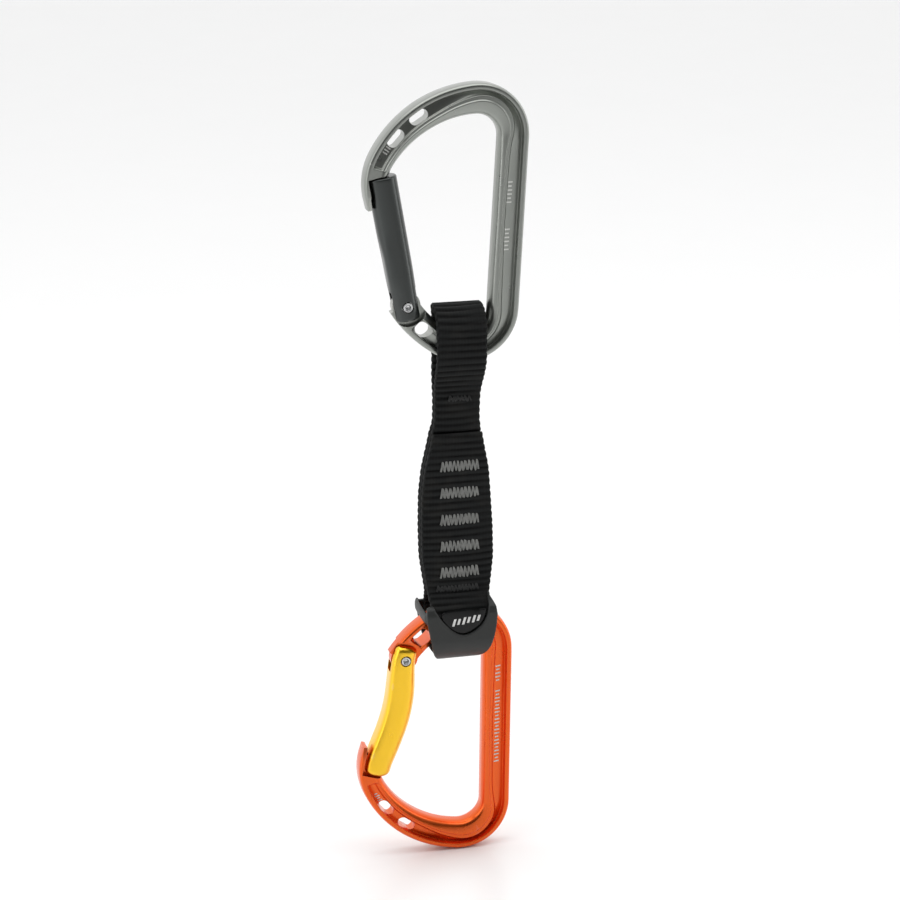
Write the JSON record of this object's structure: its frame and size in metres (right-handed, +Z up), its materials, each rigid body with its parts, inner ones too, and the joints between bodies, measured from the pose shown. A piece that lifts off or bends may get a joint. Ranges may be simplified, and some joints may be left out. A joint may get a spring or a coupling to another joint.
{
  "type": "climbing quickdraw",
  "caption": "Snap carabiners with a straight gate and a bent gate, joined by a short sewn webbing sling with a rubber retainer, for clipping a rope to a bolt.",
  "frame": {"origin": "highest point inside the upper carabiner's basket, where a bolt hanger carries the quickdraw", "axes": "+Z up along the quickdraw, +X from the gates to the spines, +Y through the thickness from front to back"},
  "size_m": [0.0605, 0.0192, 0.2743],
  "materials": {
    "grey_anodised": "satin anodised",
    "black_anodised": "satin anodised",
    "orange_anodised": "gloss anodised",
    "gold_anodised": "gloss anodised",
    "stainless": "polished",
    "black_webbing": "ribbed weave",
    "black_thread": "stitched thread",
    "grey_thread": "stitched thread",
    "black_rubber": "satin moulded",
    "gloss_badge": "gloss"
  },
  "bodies": {
    "upper_carabiner": {"upper_carabiner_body": "grey_anodised"},
    "upper_gate": {"upper_gate": "black_anodised", "upper_gate_rivet": "stainless", "upper_gate_spring": "stainless"},
    "upper_plunger": {"upper_gate_plunger": "stainless"},
    "sling_eye": {"sling_upper_eye": "black_webbing"},
    "sling": {"sling_sewn_stretch": "black_webbing", "sling_lower_eye": "black_webbing", "bar_tack_1": "grey_thread", "bar_tack_2": "grey_thread", "bar_tack_3": "grey_thread", "bar_tack_4": "grey_thread", "bar_tack_5": "grey_thread", "neck_tack": "black_thread", "foot_tack": "black_thread", "rubber_retainer": "black_rubber", "retainer_badge": "gloss_badge"},
    "lower_carabiner": {"lower_carabiner_body": "orange_anodised"},
    "lower_gate": {"lower_gate": "gold_anodised", "lower_gate_rivet": "stainless", "lower_gate_spring": "stainless"},
    "lower_plunger": {"lower_gate_plunger": "stainless"}
  },
  "joints": [
    {"name": "upper_gate_hinge", "type": "hinge", "parent": "upper_carabiner", "child": "upper_gate", "pos_m": [-0.02393, 0, -0.06298], "axis": [0, 1, 0], "range_deg": [0, 36], "stiffness_Nm_per_rad": 0.3, "springref_deg": -28.65},
    {"name": "upper_plunger_slide", "type": "slide", "parent": "upper_gate", "child": "upper_plunger", "axis": [-0.1685, 0, 0.9857], "range_m": [0, 0.0026], "deforming": ["upper_gate_spring"]},
    {"name": "upper_eye_swing", "type": "hinge", "parent": "upper_carabiner", "child": "sling_eye", "pos_m": [-0.0059, 0, -0.0738], "axis": [1, 0, 0], "range_deg": [-12, 12]},
    {"name": "neck_fold", "type": "hinge", "parent": "sling_eye", "child": "sling", "pos_m": [-0.0074, 0, -0.0926], "axis": [1, 0, 0], "range_deg": [-60, 60]},
    {"name": "lower_carabiner_tilt", "type": "hinge", "parent": "sling", "child": "lower_carabiner", "pos_m": [-0.0066, 0, -0.1795], "axis": [1, 0, 0], "range_deg": [-8, 8], "stiffness_Nm_per_rad": 0.3},
    {"name": "lower_gate_hinge", "type": "hinge", "parent": "lower_carabiner", "child": "lower_gate", "pos_m": [-0.02538, 0, -0.18905], "axis": [0, -1, 0], "range_deg": [0, 36], "stiffness_Nm_per_rad": 0.3, "springref_deg": -28.65},
    {"name": "lower_plunger_slide", "type": "slide", "parent": "lower_gate", "child": "lower_plunger", "axis": [-0.2317, 0, -0.9728], "range_m": [0, 0.0026], "deforming": ["lower_gate_spring"]}
  ],
  "couplings": [
    {"joint": "upper_plunger_slide", "follows": "upper_gate_hinge", "m_per_rad": 0.004},
    {"joint": "lower_plunger_slide", "follows": "lower_gate_hinge", "m_per_rad": 0.004}
  ]
}
